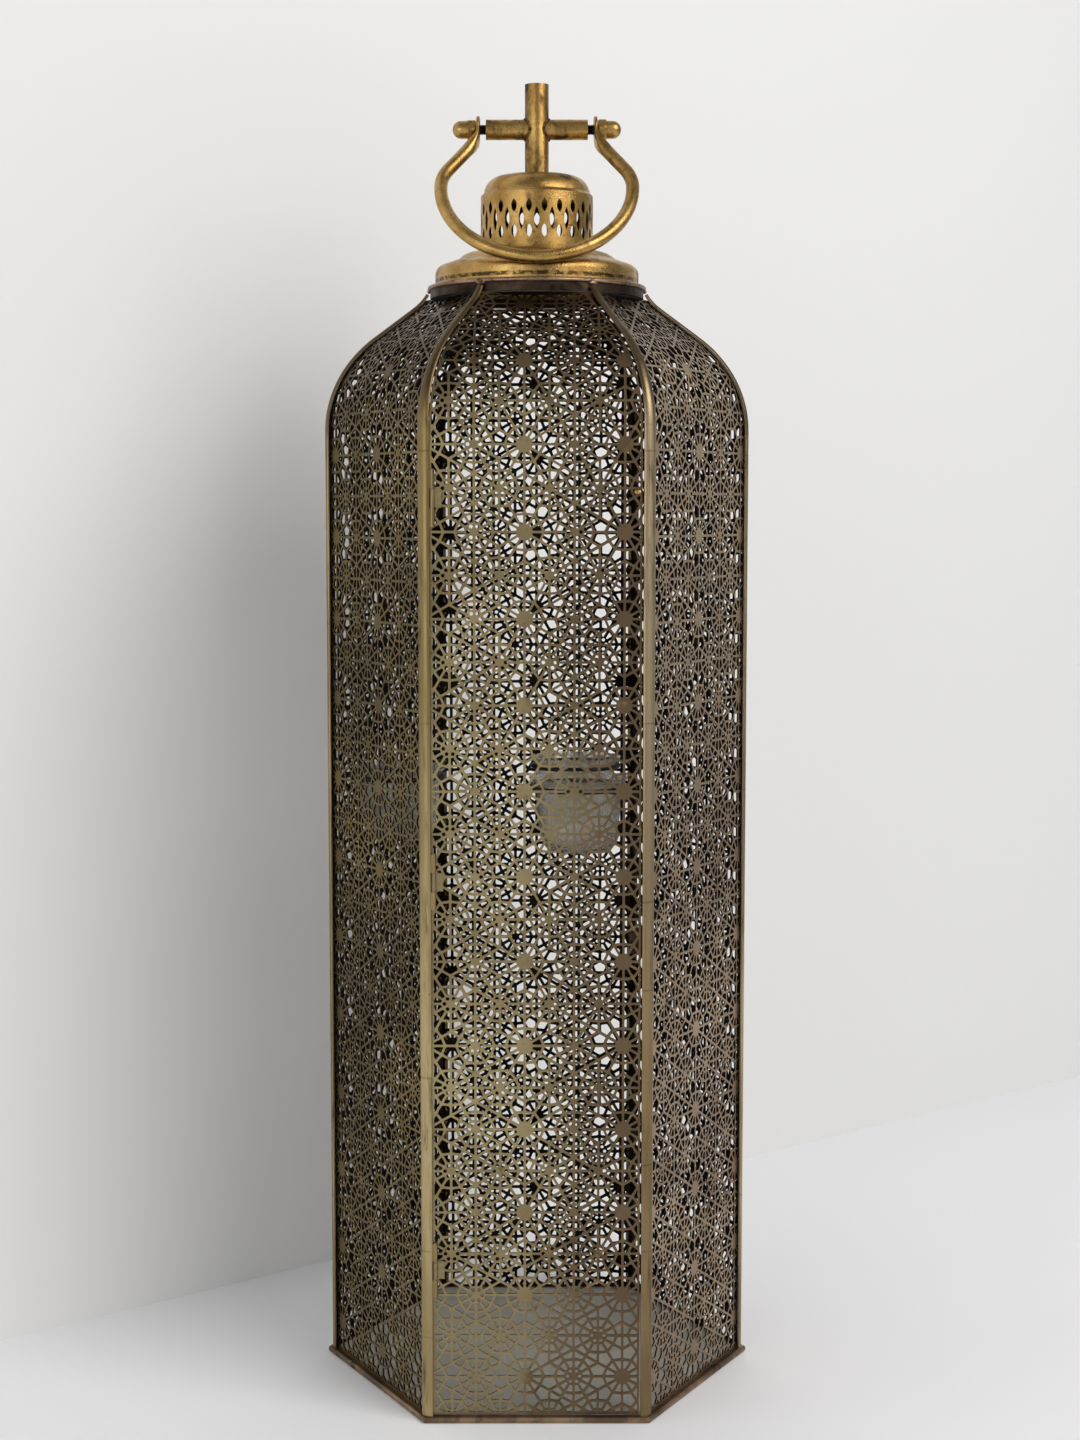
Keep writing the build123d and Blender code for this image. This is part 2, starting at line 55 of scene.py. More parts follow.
# Pierced pattern: a triangular lattice of twelve-fold rosettes, some of them with a solid sun in the middle
SUN_PITCH = 59.8
STEP = SUN_PITCH / 2
ROW = STEP * sqrt(3) / 2
STRUT = 1.45
BACK_STRUT = 2.0              # the panels away from the door are cut a little heavier
TIP_R = 0.195 * SUN_PITCH     # corner of a rosette on a lattice line
SIDE_R = 0.181 * SUN_PITCH    # corner of a rosette between lattice lines
SUN_R = 0.084 * SUN_PITCH
ROSETTE_EYE_R = 0.097 * SUN_PITCH
DOT_SPREAD = 0.062 * SUN_PITCH
DOT_R = 1.25
WEDGE_CUT = 0.35              # corners are cut off by this much, inside a rosette and between rosettes
EDGE_CUT = 0.45
MOST_CUT = 0.3                # but never by more than this share of an edge
BORDER = 1.3                  # solid margin along the edges of a panel
LEAST_HOLE = 1.2              # smallest hole area that is cut, in square millimetres
STATION_STEP = 4.0            # spacing of points along the curved part of a panel's edge
MERGE = 1e-5                  # points closer than this become one
EDGE_BAND = 0.2               # points this near the panel's edge belong to it

# Handle, as in the CAD
PIVOT_Z = 799.4
BAR_R = 4.2
LOOP_R = 59.7
LOOP_LENGTH = 111.0
UPPER_ARC_R = 28.2
ARM_LEAN = radians(33.5)
REST_TILT = radians(38.6)
EYE_R = 8.5
EYE_MIDDLE_X = 37.3
EYE_HALF_THICK = 1.3
EYE_BORE_R = 3.28
EYE_START = 2.0               # pivot to where the flattened end starts to narrow
EYE_END = 20.0                # pivot to where the flattened end has become the round bar
EYE_ROUND = 2.4               # the end follows the eye's circle down to here
NECK_START = 7.0              # pivot to where the flattened end starts to thicken
NECK_LENGTH = 11.0
NECK_SHARE = 0.96             # width of the flattened end as a share of the eye's radius
NECK_CURVE = 0.8
ELBOW = 1.4                   # softness of the bend where each arm leaves its eye
HAMMERED = 0.015              # unevenness of the round bar

# Post, cross arms, rod and domed nuts, as in the CAD
POST_R = 7.6
ARM_R = 6.35
ARM_END_X = 32.3
ROD_R = 3.2
ROD_END_X = 50.5
NUT_X0 = 38.9
NUT_HALF_FLATS = 5.9
NUT_HEX_LENGTH = 5.2
NUT_BEVEL = 0.75
NUT_DOME_R = 5.6
NUT_LENGTH = 14.6
DRILLED_R = 1.1
DRILLED_DEPTH = 2.6
THREAD_PITCH = 1.0
THREAD_DEPTH = 0.45
THREAD_TURNS = 4              # turns of thread that show beyond each cross arm


# ---- Building meshes ----

def new_object(name, data):
    obj = bpy.data.objects.new(name, data)
    bpy.context.scene.collection.objects.link(obj)
    return obj


def new_mesh(name, verts, faces):
    mesh = bpy.data.meshes.new(name)
    mesh.from_pydata([(x * MM, y * MM, z * MM) for x, y, z in verts], [], faces)
    return mesh


def add_mesh(name, verts, faces, material, body="lantern", replaces=(), sharp=35, inner=None,
             outer_faces=0):
    """One visual piece; faces from outer_faces on get the inner material, if there is one."""
    mesh = new_mesh(name, verts, faces)
    mesh.polygons.foreach_set("use_smooth", [True] * len(mesh.polygons))
    mesh.materials.append(material)
    if inner:
        mesh.materials.append(inner)
        mesh.polygons.foreach_set("material_index", [int(i >= outer_faces) for i in range(len(faces))])
    mesh.validate()
    mesh.set_sharp_from_angle(angle=radians(sharp))
    obj = new_object(name, mesh)
    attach(obj, body)
    if replaces:
        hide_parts(*replaces)
    return obj


def rings_to_faces(rings, around, closed_ends=True):
    """Quads between rings of points, with a cap on each end."""
    faces = []
    for i in range(rings - 1):
        a, b = i * around, (i + 1) * around
        for j in range(around):
            k = (j + 1) % around
            faces.append((a + j, a + k, b + k, b + j))
    if closed_ends:
        faces.append(tuple(reversed(range(around))))
        faces.append(tuple((rings - 1) * around + j for j in range(around)))
    return faces


def turn_z(points, angle):
    c, s = cos(angle), sin(angle)
    return [(x * c - y * s, x * s + y * c, z) for x, y, z in points]


# ---- Panel shape: v runs up along the panel's face ----

END1_P = PANEL_P - SHOULDER_R * (1 - cos(SHOULDER_TURN))
END1_Z = SHOULDER_V + SHOULDER_R * sin(SHOULDER_TURN)
END1_V = SHOULDER_V + SHOULDER_R * SHOULDER_TURN
FLAT = (FLAT_TOP_Z - END1_Z) / cos(SHOULDER_TURN)
END2_P = END1_P - FLAT * sin(SHOULDER_TURN)
END2_V = END1_V + FLAT
FLARE_P = END2_P + FLARE_R * cos(SHOULDER_TURN)
FLARE_Z = FLAT_TOP_Z + FLARE_R * sin(SHOULDER_TURN)


def flare_v(z):
    """Length along the face at which the flare under the neck reaches height z."""
    return END2_V + FLARE_R * (SHOULDER_TURN - asin((FLARE_Z - z) / FLARE_R))


def profile(v):
    """Distance from the axis, height and lean of the panel's face at length v."""
    v = np.asarray(v, float)
    turn = np.clip((v - SHOULDER_V) / SHOULDER_R, 0, SHOULDER_TURN)
    p = PANEL_P - SHOULDER_R * (1 - np.cos(turn))
    z = np.minimum(v, SHOULDER_V) + SHOULDER_R * np.sin(turn)
    flat = np.clip(v - END1_V, 0, FLAT)
    p = p - flat * sin(SHOULDER_TURN)
    z = z + flat * cos(SHOULDER_TURN)
    lean = SHOULDER_TURN - np.clip(v - END2_V, 0, None) / FLARE_R
    flared = v > END2_V
    p = np.where(flared, FLARE_P - FLARE_R * np.cos(lean), p)
    z = np.where(flared, FLARE_Z - FLARE_R * np.sin(lean), z)
    return p, z, np.where(flared, lean, turn)


# ---- Pierced pattern ----

def inset(poly, gaps):
    """Moves each edge of a convex anticlockwise polygon inward by its own gap."""
    n = len(poly)
    lines = []
    for i in range(n):
        (x0, y0), (x1, y1) = poly[i], poly[(i + 1) % n]
        length = sqrt((x1 - x0) ** 2 + (y1 - y0) ** 2)
        nx, ny = (y0 - y1) / length, (x1 - x0) / length
        lines.append((nx, ny, nx * x0 + ny * y0 + gaps[i]))
    points = []
    for i in range(n):
        a, b, c = lines[i - 1]
        d, e, f = lines[i]
        det = a * e - b * d
        points.append(((c * e - b * f) / det, (a * f - c * d) / det))
    return points


def area(poly):
    return 0.5 * sum(poly[i - 1][0] * p[1] - p[0] * poly[i - 1][1] for i, p in enumerate(poly))


def polar(r, turn):
    return r * cos(radians(turn)), r * sin(radians(turn))


def round_corners(poly, cut):
    """Cuts each corner off by a short edge."""
    points = []
    n = len(poly)
    for i in range(n):
        p = Vector(poly[i])
        for q in (Vector(poly[i - 1]), Vector(poly[(i + 1) % n])):
            edge = q - p
            points.append(tuple(p + edge * min(MOST_CUT, cut / edge.length)))
    return points


def rosette_holes(has_sun, strut):
    """Holes inside one rosette centred on the origin."""
    half = strut / 2
    core = SUN_R if has_sun else ROSETTE_EYE_R
    holes = []
    for k in range(12):
        low, high = 30 * k, 30 * k + 30
        r_low, r_high = (TIP_R, SIDE_R) if k % 2 == 0 else (SIDE_R, TIP_R)
        wedge = [polar(core, low), polar(r_low, low), polar(r_high, high), polar(core, high)]
        holes.append(round_corners(inset(wedge, (half, half, half, 0)), WEDGE_CUT))
    if not has_sun:
        for k in range(6):
            x, y = polar(DOT_SPREAD, 60 * k)
            holes.append([(x + polar(DOT_R, a)[0], y + polar(DOT_R, a)[1]) for a in range(0, 360, 60)])
    return holes


def edge_holes(split, strut):
    """Holes between a rosette at the origin and one a step along +X, on the left of the line between them."""
    half = strut / 2
    tip0, tip1 = (TIP_R, 0), (STEP - TIP_R, 0)
    side0 = polar(SIDE_R, 30)
    side1 = (STEP - side0[0], side0[1])
    middle, centre = (STEP / 2, 0), (STEP / 2, STEP / (2 * sqrt(3)))
    if split:
        shapes = [[tip0, middle, centre, side0], [middle, tip1, side1, centre]]
    else:
        shapes = [[tip0, tip1, side1, centre, side0]]
    return [round_corners(inset(s, [half] * len(s)), EDGE_CUT) for s in shapes]


def is_sun(i, j):
    return j % 2 == 0 and i % 2 == 0


def lattice_point(i, j):
    return i * STEP + (j % 2) * STEP / 2, j * ROW


def pattern(u0, v0, half_width, v_top, strut):
    """Every hole of the pattern, with a sun's centre at (u0, v0), over the given width and height."""
    suns, plain = rosette_holes(True, strut), rosette_holes(False, strut)
    joined, split = edge_holes(False, strut), edge_holes(True, strut)
    columns, rows = int(half_width / STEP) + 3, int(v_top / ROW) + 3
    holes = []
    for j in range(-2, rows):
        for i in range(-columns, columns + 1):
            x, y = lattice_point(i, j)
            base = Vector((x + u0, y + v0))
            shapes = list(suns if is_sun(i, j) else plain)
            # neighbours at 0, 60 and 120 degrees
            shift = j % 2
            for turn, near in ((0, (i + 1, j)), (60, (i + shift, j + 1)), (120, (i + shift - 1, j + 1))):
                undivided = is_sun(i, j) or is_sun(*near)
                turned = Matrix.Rotation(radians(turn), 2)
                for hole in joined if undivided else split:
                    shapes.append([tuple(turned @ Vector(p)) for p in hole])
                    # the same hole on the other side of the line
                    shapes.append([tuple(turned @ Vector((p[0], -p[1]))) for p in reversed(hole)])
            holes += [[(p[0] + base.x, p[1] + base.y) for p in s] for s in shapes]
    return holes


def clip(poly, a, b, c):
    """The part of a polygon where a*x + b*y <= c."""
    kept = []
    for i, p in enumerate(poly):
        q = poly[(i + 1) % len(poly)]
        dp, dq = a * p[0] + b * p[1] - c, a * q[0] + b * q[1] - c
        if dp <= 0:
            kept.append(p)
        if (dp < 0 < dq) or (dq < 0 < dp):
            t = dp / (dp - dq)
            kept.append((p[0] + t * (q[0] - p[0]), p[1] + t * (q[1] - p[1])))
    return kept


def panel_loops(holes, gap_low, gap_high, z_low, v_top):
    """A panel's outline and its holes, each clipped to the panel, as (u, v) points."""

    def low_edge(v):
        return -(float(profile(v)[0]) * SLOPE - gap_low)

    def high_edge(v):
        return float(profile(v)[0]) * SLOPE - gap_high

    curved = np.arange(SHOULDER_V + STATION_STEP, v_top - 1, STATION_STEP)
    stations = [z_low, SHOULDER_V] + list(curved) + [v_top]
    outline = [(high_edge(v), v) for v in stations] + [(low_edge(v), v) for v in reversed(stations)]
    loops = [outline]
    for hole in holes:
        centre_v = sum(p[1] for p in hole) / len(hole)
        if not z_low - STEP < centre_v < v_top + STEP:
            continue
        v = min(max(centre_v, z_low), v_top)
        rate = -sin(float(profile(v)[2])) * SLOPE
        hole = clip(hole, 1, -rate, high_edge(v) - rate * v - BORDER)
        hole = clip(hole, -1, -rate, -(low_edge(v) + rate * v) - BORDER)
        hole = clip(hole, 0, -1, -(z_low + BORDER))
        hole = clip(hole, 0, 1, v_top - BORDER)
        if len(hole) > 2 and area(hole) > LEAST_HOLE:
            loops.append(hole)
    return loops


def triangulated(loops):
    """Flat points and triangles of an outline with holes."""
    points, faces = [], []
    for loop in loops:
        faces.append(list(range(len(points), len(points) + len(loop))))
        points += [Vector(p) for p in loop]
    flat = geometry.delaunay_2d_cdt(points, [], faces, 2, MERGE)
    return np.array([tuple(p) for p in flat[0]]), np.array([tuple(f) for f in flat[2]])


def pierced_sheet(u0, v0, gap_low, gap_high, z_low, z_top, strut):
    """Vertices and faces of a pierced panel that faces +X, and how many of the faces are its outside."""
    v_top = flare_v(z_top)
    holes = pattern(u0, v0, CORNER_R / 2, v_top, strut)
    uv, tris = triangulated(panel_loops(holes, gap_low, gap_high, z_low, v_top))
    u, v = uv[:, 0], uv[:, 1]
    p, z, lean = profile(v)
    from_edge = np.minimum(p * SLOPE - gap_high - u, u + p * SLOPE - gap_low)
    front = np.stack([p, u, z], 1)
    # the inside face is narrower by the mitre between panels
    inner_u = np.where(from_edge < EDGE_BAND, u - np.sign(u) * SHEET * SLOPE, u)
    back = np.stack([p - SHEET * np.cos(lean), inner_u, z - SHEET * np.sin(lean)], 1)
    ends = np.concatenate([tris[:, [0, 1]], tris[:, [1, 2]], tris[:, [2, 0]]])
    n = len(uv)
    keys = ends[:, 0] * n + ends[:, 1]
    reverse = ends[:, 1] * n + ends[:, 0]
    rim = ends[~np.isin(keys, reverse)]
    walls = np.stack([rim[:, 1], rim[:, 0], rim[:, 0] + n, rim[:, 1] + n], 1)
    faces = [tuple(t) for t in tris.tolist()]
    faces += [tuple(t) for t in (tris[:, ::-1] + n).tolist()]
    faces += [tuple(w) for w in walls.tolist()]
    return np.concatenate([front, back]).tolist(), faces, len(tris)


# ---- Materials ----

# Lengths in the shaders are metres
TICK_CORE, TICK_EDGE = 0.0002, 0.0009     # half width of a tick: its solid middle, and where it has faded
BAND_BLUR = 0.0006
INSIDE_BLUR = 0.0002
BUMP_HEIGHT = 0.0006


def node(tree, kind, settings=None, **sockets):
    made = tree.nodes.new("ShaderNode" + kind)
    for key, value in (settings or {}).items():
        setattr(made, key, value)
    for key, value in sockets.items():
        socket = made.inputs[key.replace("_", " ")]
        if isinstance(value, bpy.types.NodeSocket):
            tree.links.new(value, socket)
        else:
            socket.default_value = value
    return made


def rgb(red, green, blue):
    return (red, green, blue, 1.0)


def new_tree(name):
    material = bpy.data.materials.new(name)
    material.use_nodes = True
    material.node_tree.nodes.clear()
    return material, material.node_tree


def noise_at(tree, where, scale, detail=5.0, roughness=0.6, distortion=0.0):
    return node(tree, "TexNoise", Vector=where, Scale=scale, Detail=detail, Roughness=roughness,
                Distortion=distortion).outputs["Fac"]


def between(tree, value, low, high, to_low=0.0, to_high=1.0):
    return node(tree, "MapRange", {"interpolation_type": "SMOOTHSTEP"}, Value=value, From_Min=low,
                From_Max=high, To_Min=to_low, To_Max=to_high).outputs["Result"]


def mixed(tree, factor, first, second):
    return node(tree, "MixRGB", Fac=factor, Color1=first, Color2=second).outputs["Color"]


def multiplied(tree, first, second):
    made = node(tree, "Math", {"operation": "MULTIPLY"})
    tree.links.new(first, made.inputs[0])
    tree.links.new(second, made.inputs[1])
    return made.outputs["Value"]


def ticks_mask(tree, where, height, spacing):
    """Faint worn lines at even heights."""
    wave = node(tree, "Math", {"operation": "PINGPONG"}, Value=height)
    wave.inputs[1].default_value = spacing / 2
    line = between(tree, wave.outputs["Value"], TICK_CORE, TICK_EDGE, 0.4, 0)
    worn = between(tree, noise_at(tree, where, 35, 2.0), 0.42, 0.6)
    return multiplied(tree, line, worn)


def band_mask(tree, where, height, low, high):
    """A broken band between two heights."""
    rise = between(tree, height, low - BAND_BLUR, low)
    fall = between(tree, height, high, high + BAND_BLUR, 1, 0)
    broken = between(tree, noise_at(tree, where, 260, 4.0), 0.40, 0.52, 0.25, 0.95)
    return multiplied(tree, multiplied(tree, rise, fall), broken)


def inside_shade_mask(tree, apart, inside):
    """Where painted shade goes: everything nearer to the lantern's axis than the given radius."""
    flat = node(tree, "CombineXYZ", X=apart.outputs["X"], Y=apart.outputs["Y"]).outputs["Vector"]
    radius = node(tree, "VectorMath", {"operation": "LENGTH"}, Vector=flat).outputs["Value"]
    return between(tree, radius, inside - INSIDE_BLUR, inside, 1, 0)


def metal(name, dark, base, light, grain=(1, 1, 1), broad=30, patch=90, patch_range=(0.5, 0.62), speck=700,
          speck_range=(0.6, 0.72), copper=None, rough=(0.3, 0.5), bump=0.15, bump_scale=900, crevice_shade_and_patina=0.0,
          ticks=None, drift=None, inside=None, shade_and_light_by_height=(), band=None, side=None):
    """Antiqued metal: broad tone, dark patina patches, specks, and painted shade with patina in the corners.
    drift is a colour that comes and goes over the whole piece; inside is the radius from the axis within
    which the metal is painted near black as shade; above and side are where painted light and shade set in,
    by height and by x, and band is where a dark band sets in by height;
    ticks is the spacing of faint lines up the piece and crevice the reach of the painted shade and patina, in
    metres."""
    material, tree = new_tree(name)
    where = node(tree, "TexCoord").outputs["Object"]
    apart = node(tree, "SeparateXYZ", Vector=where)
    height = apart.outputs["Z"]
    streaked = node(tree, "Mapping", Vector=where, Scale=grain).outputs["Vector"]
    tone = noise_at(tree, streaked, broad)
    colour = mixed(tree, between(tree, tone, 0.36, 0.66), base, light)
    if drift:
        colour = mixed(tree, between(tree, noise_at(tree, where, 7, 3.0), 0.42, 0.62, 0, 0.75), colour, drift)
    patches = noise_at(tree, streaked, patch, 8.0, 0.68, 0.3)
    # painted shade that sets in across the piece, by x
    if side:
        low, high, tint = side
        colour = mixed(tree, between(tree, apart.outputs["X"], low, high, 0, 0.8), colour, tint)
    # painted light and shade that set in by height
    for low, high, tint in shade_and_light_by_height:
        colour = mixed(tree, between(tree, height, low, high, 0, 0.85), colour, tint)
    patina = between(tree, patches, *patch_range)
    colour = mixed(tree, patina, colour, dark)
    if copper:
        spots = noise_at(tree, where, 55, 4.0, 0.7)
        colour = mixed(tree, between(tree, spots, 0.6, 0.72, 0, 0.8), colour, copper)
    specks = noise_at(tree, where, speck, 3.0, 0.6)
    colour = mixed(tree, between(tree, specks, *speck_range, 0, 0.7), colour, dark)
    # painted shade: darker where the surface is hemmed in (ambient occlusion), standing also for patina in
    # the crevices
    if crevice_shade_and_patina:
        shade = node(tree, "AmbientOcclusion", {"samples": 4}, Distance=crevice_shade_and_patina).outputs["AO"]
        colour = mixed(tree, between(tree, shade, 0.35, 0.85, 0.85, 0), colour, dark)
    if ticks:
        colour = mixed(tree, ticks_mask(tree, where, height, ticks), colour, dark)
    if band:
        colour = mixed(tree, band_mask(tree, where, height, *band), colour, dark)
    # painted shade: near black inside the given radius, for the dark inside of the chimney
    if inside:
        colour = mixed(tree, inside_shade_mask(tree, apart, inside), colour, INSIDE_SHADE_BLACK)
    roughness = between(tree, patches, 0.35, 0.68, *rough)
    fine = noise_at(tree, where, bump_scale, 3.0, 0.6)
    normal = node(tree, "Bump", Strength=bump, Distance=BUMP_HEIGHT, Height=fine).outputs["Normal"]
    shader = node(tree, "BsdfPrincipled", Base_Color=colour, Metallic=1.0, Roughness=roughness, Normal=normal)
    node(tree, "OutputMaterial", Surface=shader.outputs["BSDF"])
    return material


# painted shade: near black for the inside of the chimney
INSIDE_SHADE_BLACK = rgb(0.035, 0.022, 0.012)
# the gold pieces carry painted shade with patina in their crevices
GOLD = {"dark": rgb(0.055, 0.032, 0.014), "base": rgb(0.35, 0.205, 0.058), "light": rgb(0.58, 0.37, 0.125),
        "patch_range": (0.54, 0.70), "speck": 620, "speck_range": (0.58, 0.72),
        "copper": rgb(0.22, 0.10, 0.04), "rough": (0.22, 0.44), "bump": 0.3, "bump_scale": 1300,
        "crevice_shade_and_patina": 0.004}
OLD_GOLD = metal("old_gold", broad=26, patch=65, **GOLD)
CAP_GOLD = metal("cap_gold", broad=22, patch=48, band=(0.7028, 0.7046), **GOLD)
CHIMNEY_GOLD = metal("chimney_gold", broad=26, patch=60, inside=0.0352, **GOLD)
POST_GOLD = metal("post_gold", broad=34, patch=70, grain=(1, 1, 0.4), **{**GOLD, "patch_range": (0.47, 0.63)})
# the welds also carry painted shade with patina in their crevices
WELD_DARK = metal("weld_dark", rgb(0.02, 0.012, 0.006), rgb(0.13, 0.075, 0.03), rgb(0.34, 0.22, 0.085),
                  broad=160, patch=220, patch_range=(0.46, 0.6), rough=(0.4, 0.6), bump=0.8,
                  bump_scale=700, crevice_shade_and_patina=0.003)
HANDLE_GOLD = metal("handle_gold", broad=34, patch=55, **GOLD)
BRONZE = {"broad": 9, "patch": 30, "patch_range": (0.56, 0.78), "speck": 400, "speck_range": (0.62, 0.78),
          "rough": (0.36, 0.55), "bump": 0.2}
# painted shade: the door turns darker towards its right half
DOOR_RIGHT_SHADE = rgb(0.11, 0.072, 0.045)
# painted shade: darker over the shoulder of the panels, where less light falls from above
SHOULDER_SHADE = rgb(0.11, 0.075, 0.042)
DOOR_BRONZE = metal("door_bronze", rgb(0.05, 0.036, 0.020), rgb(0.27, 0.215, 0.115), rgb(0.38, 0.31, 0.16),
                    copper=rgb(0.30, 0.20, 0.09), drift=rgb(0.20, 0.145, 0.075), shade_and_light_by_height=[(0.605, 0.660, SHOULDER_SHADE)],
                    side=(-0.02, 0.045, DOOR_RIGHT_SHADE), **BRONZE)
# painted shade: a darker copy of the panel bronze for the two left panels, away from the light
SHADED_LEFT_BRONZE = metal("left_bronze_painted_shade", rgb(0.035, 0.024, 0.012), rgb(0.145, 0.105, 0.045), rgb(0.23, 0.17, 0.07),
                    copper=rgb(0.24, 0.16, 0.06), drift=rgb(0.11, 0.078, 0.036),
                    shade_and_light_by_height=[(0.590, 0.650, SHOULDER_SHADE)], **BRONZE)
# painted light: lighter from 0.30 m up to 0.58 m
PANEL_BRONZE = metal("panel_bronze", rgb(0.06, 0.042, 0.028), rgb(0.32, 0.24, 0.165), rgb(0.46, 0.35, 0.235),
                     copper=rgb(0.34, 0.20, 0.12), drift=rgb(0.25, 0.175, 0.115),
                     shade_and_light_by_height=[(0.30, 0.58, rgb(0.56, 0.43, 0.29)), (0.635, 0.680, SHOULDER_SHADE)], **BRONZE)
# painted shade: the panels' inner faces are near black, for the dark inside of the lantern
PANEL_INSIDE_SHADE = metal("panel_inside_painted_shade", rgb(0.006, 0.005, 0.004), rgb(0.018, 0.013, 0.010),
                     rgb(0.032, 0.024, 0.017), broad=12, patch=40, patch_range=(0.5, 0.75),
                     rough=(0.55, 0.75), bump=0.15)
# painted shade: the ribs turn darker over the shoulder, as the panels do
RIB_SHOULDER_SHADE = rgb(0.10, 0.065, 0.035)
RIB = {"grain": (1, 1, 0.12), "broad": 60, "patch": 110, "patch_range": (0.53, 0.74), "speck": 500,
       "speck_range": (0.64, 0.8), "rough": (0.30, 0.46), "bump": 0.2, "ticks": 0.054}
RIB_BRASS = metal("rib_brass", rgb(0.06, 0.04, 0.018), rgb(0.27, 0.195, 0.085), rgb(0.44, 0.335, 0.165),
                  drift=rgb(0.24, 0.165, 0.08), shade_and_light_by_height=[(0.600, 0.640, RIB_SHOULDER_SHADE)], **RIB)
# painted light and shade: a lighter copy of the rib brass for the front-left rib, turning darker from 0.25 m
# up
RIB_LEFT_LIGHT_AND_SHADE = metal("rib_left", rgb(0.06, 0.04, 0.018), rgb(0.34, 0.26, 0.125), rgb(0.50, 0.40, 0.21),
                 shade_and_light_by_height=[(0.25, 0.50, rgb(0.23, 0.165, 0.065)), (0.600, 0.640, RIB_SHOULDER_SHADE)], **RIB)
# painted light and shade: a darker copy of the rib brass for the front-right rib, turning lighter from 0.20 m
# up
RIB_RIGHT_LIGHT_AND_SHADE = metal("rib_right", rgb(0.05, 0.034, 0.016), rgb(0.19, 0.13, 0.062), rgb(0.30, 0.21, 0.11),
                  shade_and_light_by_height=[(0.20, 0.50, rgb(0.42, 0.325, 0.20)), (0.600, 0.640, RIB_SHOULDER_SHADE)], **RIB)
DARK_BRONZE = metal("dark_bronze", rgb(0.02, 0.014, 0.01), rgb(0.15, 0.10, 0.065), rgb(0.36, 0.25, 0.15),
                    broad=30, patch=80, patch_range=(0.52, 0.72), copper=rgb(0.36, 0.19, 0.11),
                    rough=(0.32, 0.55))
COLLAR_BLACK = metal("collar_black", rgb(0.008, 0.006, 0.005), rgb(0.03, 0.02, 0.014), rgb(0.07, 0.045, 0.03),
                     broad=40, patch=90, patch_range=(0.5, 0.7), rough=(0.4, 0.6))
SOLDER_BROWN = metal("solder_brown", rgb(0.06, 0.035, 0.022), rgb(0.26, 0.155, 0.105), rgb(0.42, 0.28, 0.19),
                     broad=60, patch=120, patch_range=(0.5, 0.68), rough=(0.3, 0.5), bump=0.4, bump_scale=600)
DARK_STEEL = metal("dark_steel", rgb(0.008, 0.008, 0.008), rgb(0.035, 0.032, 0.028), rgb(0.08, 0.075, 0.065),
                   broad=60, patch=120, patch_range=(0.5, 0.7), rough=(0.4, 0.6))


def painted(name, base, light, dirt, rough):
    """Dull painted or plastered surface."""
    material, tree = new_tree(name)
    where = node(tree, "TexCoord").outputs["Object"]
    colour = mixed(tree, between(tree, noise_at(tree, where, 12), 0.35, 0.65), base, light)
    colour = mixed(tree, between(tree, noise_at(tree, where, 160, 6.0, 0.7), 0.62, 0.8, 0, 0.5), colour, dirt)
    roughness = between(tree, noise_at(tree, where, 40), 0.3, 0.7, *rough)
    normal = node(tree, "Bump", Strength=0.1, Distance=0.0005,
                  Height=noise_at(tree, where, 500, 3.0)).outputs["Normal"]
    shader = node(tree, "BsdfPrincipled", Base_Color=colour, Roughness=roughness, Normal=normal)
    node(tree, "OutputMaterial", Surface=shader.outputs["BSDF"])
    return material


FLOOR_GREY = painted("floor_grey", rgb(0.68, 0.64, 0.55), rgb(0.80, 0.75, 0.65), rgb(0.38, 0.34, 0.27),
                     (0.5, 0.7))


def make_glass():
    material, tree = new_tree("clear_glass")
    where = node(tree, "TexCoord").outputs["Object"]
    smear = noise_at(tree, where, 70, 4.0)
    colour = mixed(tree, between(tree, smear, 0.4, 0.7), rgb(0.97, 0.94, 0.87), rgb(0.90, 0.87, 0.79))
    roughness = between(tree, smear, 0.35, 0.7, 0.18, 0.34)
    normal = node(tree, "Bump", Strength=0.15, Distance=0.0008,
                  Height=noise_at(tree, where, 60, 2.0)).outputs["Normal"]
    shader = node(tree, "BsdfPrincipled", Base_Color=colour, Roughness=roughness, Normal=normal)
    shader.inputs["Transmission Weight"].default_value = 1.0
    shader.inputs["IOR"].default_value = 1.47
    node(tree, "OutputMaterial", Surface=shader.outputs["BSDF"])
    return material


CLEAR_GLASS = make_glass()


# ---- Pierced panels ----

PANEL_ANGLES = {"front_right": -30, "back_right": 30, "back": 90, "back_left": 150, "front_left": 210}
PANEL_GAP = 0.3               # between a panel's edge and the corner of the body
PANEL_BOTTOM_Z = 4.0
DOOR_SUN = (-7.3, 28.3)       # where a sun's centre sits on the door
DOOR_HINGE_GAP, DOOR_FREE_GAP = 3.3, 4.1
DOOR_BOTTOM_Z, DOOR_TOP_Z = 4.6, 692.0
# each cut: where a sun's centre sits on the panel, and the width of the struts
PANEL_CUTS = {"front_right": (0.4, 25.4, STRUT), "front_left": (3.4, 24.0, STRUT),
              "back": (0.4, 25.4, BACK_STRUT), "back_side": (3.4, 24.0, BACK_STRUT)}
shared = {name: pierced_sheet(u0, v0, PANEL_GAP, PANEL_GAP, PANEL_BOTTOM_Z, PANEL_TOP_Z, strut)
          for name, (u0, v0, strut) in PANEL_CUTS.items()}
PANEL_SOURCES = {"front_right": "front_right", "back_right": "back_side", "back": "back",
                 "back_left": "back_side", "front_left": "front_left"}
for side, angle in PANEL_ANGLES.items():
    verts, faces, fronts = shared[PANEL_SOURCES[side]]
    # the left panels take the darker copy, as painted shade
    bronze = SHADED_LEFT_BRONZE if "left" in side else PANEL_BRONZE
    add_mesh(f"pierced_panel_{side}", turn_z(verts, radians(angle)), faces, bronze,
             replaces=[f"panel_{side}"], inner=PANEL_INSIDE_SHADE, outer_faces=fronts)
